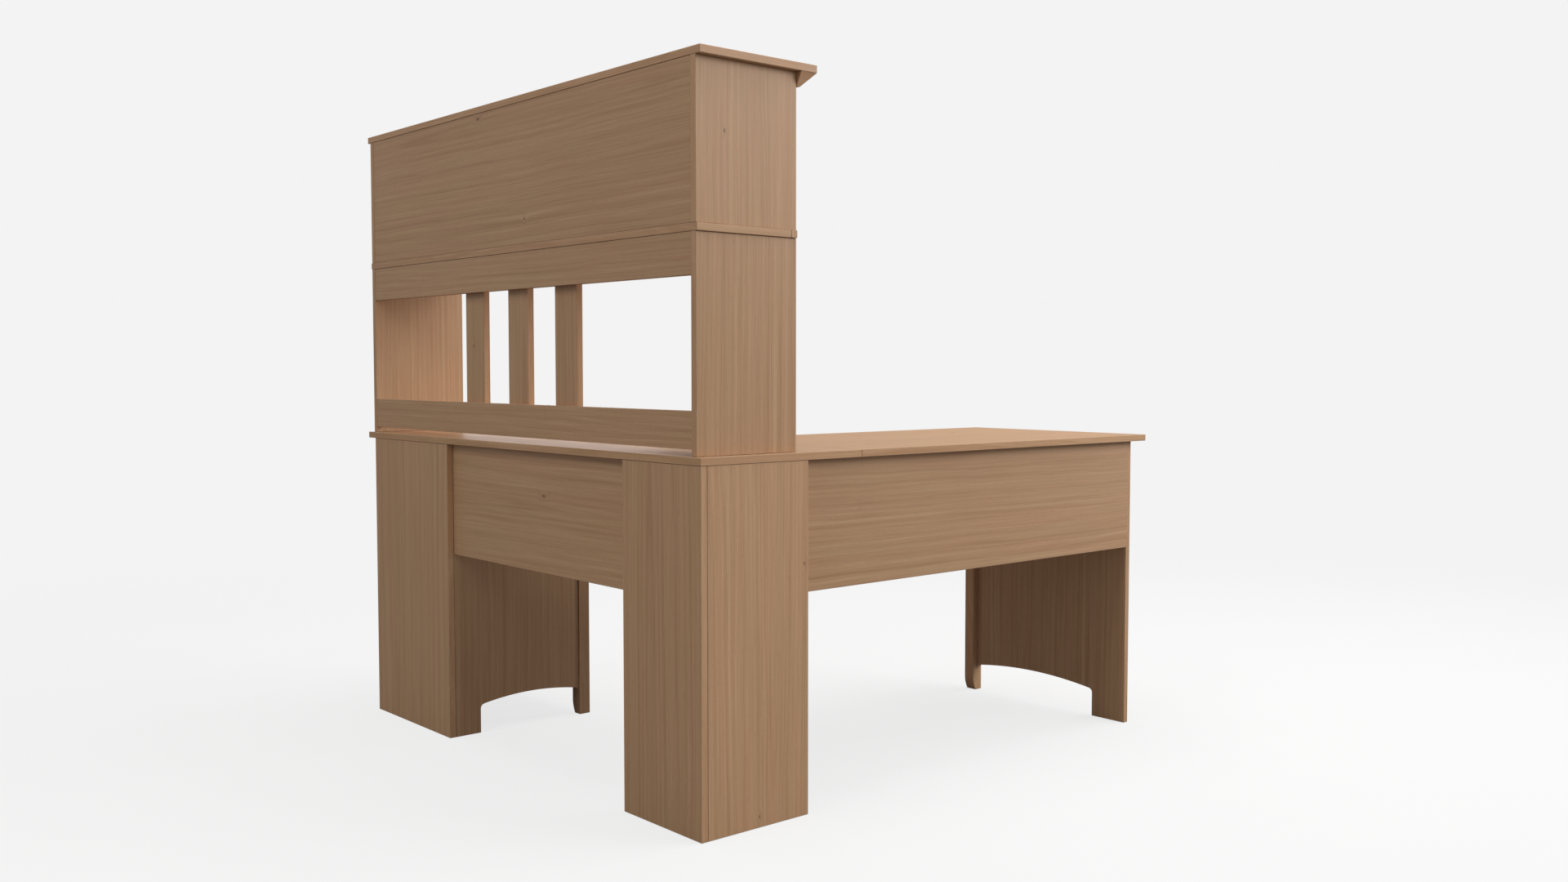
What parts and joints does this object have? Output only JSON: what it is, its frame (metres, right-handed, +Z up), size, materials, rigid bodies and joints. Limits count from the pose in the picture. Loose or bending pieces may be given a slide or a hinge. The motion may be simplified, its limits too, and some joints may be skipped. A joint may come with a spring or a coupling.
{
  "type": "L-shaped study desk with hutch",
  "caption": "L-shaped laminate study desk: panel legs with arched bases, modesty panels, a drawer pedestal, and a tall hutch with cupboards, open slatted back and shelf.",
  "frame": {"origin": "centre of the overall footprint, on the floor", "axes": "+Z up; +X along the hutch from the corner toward the pedestal; +Y toward the back, away from the user"},
  "size_m": [1.487, 1.467, 1.556],
  "materials": {
    "oak_upright": "satin oak laminate, grain upright",
    "oak_long": "satin oak laminate, grain along the hutch",
    "oak_return": "satin oak laminate, grain along the return",
    "oak_worktop": "semi-gloss oak laminate",
    "drawer_board": "matt pale melamine",
    "runner_beech": "waxed beech",
    "nickel": "satin nickel plate",
    "zinc_steel": "bright zinc plate"
  },
  "bodies": {
    "carcass": {"main_desktop": "oak_worktop", "return_desktop": "oak_worktop", "desktop_joint_plate_1": "zinc_steel", "desktop_joint_plate_2": "zinc_steel", "corner_back_board": "oak_upright", "corner_side_board": "oak_upright", "main_modesty": "oak_long", "return_modesty": "oak_return", "pedestal_back_board": "oak_upright", "pedestal_inner_side": "oak_upright", "pedestal_outer_side": "oak_upright", "pedestal_inner_leg": "oak_upright", "pedestal_outer_leg": "oak_upright", "pedestal_top_rail": "oak_long", "pedestal_apron": "oak_long", "return_end_panel": "oak_upright", "return_end_leg": "oak_upright", "hutch_corner_side_lower": "oak_upright", "hutch_outer_side_lower": "oak_upright", "hutch_corner_side_upper": "oak_upright", "hutch_outer_side_upper": "oak_upright", "hutch_shelf": "oak_long", "hutch_shelf_nosing": "oak_long", "hutch_top": "oak_long", "hutch_crown": "oak_long", "hutch_back_panel": "oak_long", "hutch_upper_rail": "oak_long", "hutch_lower_rail": "oak_long", "hutch_slat_1": "oak_upright", "hutch_slat_2": "oak_upright", "hutch_slat_3": "oak_upright", "hutch_divider_1": "oak_upright", "hutch_divider_2": "oak_upright", "hutch_frieze_rail": "oak_long", "hutch_corner_hinge_frame_leaf": "nickel", "hutch_corner_hinge_pin": "nickel", "hutch_outer_hinge_frame_leaf": "nickel", "hutch_outer_hinge_pin": "nickel", "lower_drawer_inner_runner": "runner_beech", "lower_drawer_outer_runner": "runner_beech", "upper_drawer_inner_runner": "runner_beech", "upper_drawer_outer_runner": "runner_beech"},
    "corner_door": {"hutch_corner_door": "oak_long", "hutch_corner_hinge_door_leaf": "nickel", "hutch_corner_door_knob": "nickel"},
    "outer_door": {"hutch_outer_door": "oak_long", "hutch_outer_hinge_door_leaf": "nickel", "hutch_outer_door_knob": "nickel"},
    "upper_drawer": {"upper_drawer_front": "oak_long", "upper_drawer_inner_wall": "drawer_board", "upper_drawer_outer_wall": "drawer_board", "upper_drawer_back": "drawer_board", "upper_drawer_floor": "drawer_board", "upper_drawer_handle": "nickel"},
    "lower_drawer": {"lower_drawer_front": "oak_long", "lower_drawer_inner_wall": "drawer_board", "lower_drawer_outer_wall": "drawer_board", "lower_drawer_back": "drawer_board", "lower_drawer_floor": "drawer_board", "lower_drawer_handle": "nickel"}
  },
  "joints": [
    {"name": "corner_door_hinge", "type": "hinge", "parent": "carcass", "child": "corner_door", "pos_m": [-0.7013, 0.4611, 1.3615], "axis": [0, 0, -1], "range_deg": [0, 100]},
    {"name": "outer_door_hinge", "type": "hinge", "parent": "carcass", "child": "outer_door", "pos_m": [0.7103, 0.4611, 1.3615], "axis": [0, 0, 1], "range_deg": [0, 100]},
    {"name": "upper_drawer_slide", "type": "slide", "parent": "carcass", "child": "upper_drawer", "axis": [0, -1, 0], "range_m": [0, 0.26]},
    {"name": "lower_drawer_slide", "type": "slide", "parent": "carcass", "child": "lower_drawer", "axis": [0, -1, 0], "range_m": [0, 0.26]}
  ]
}
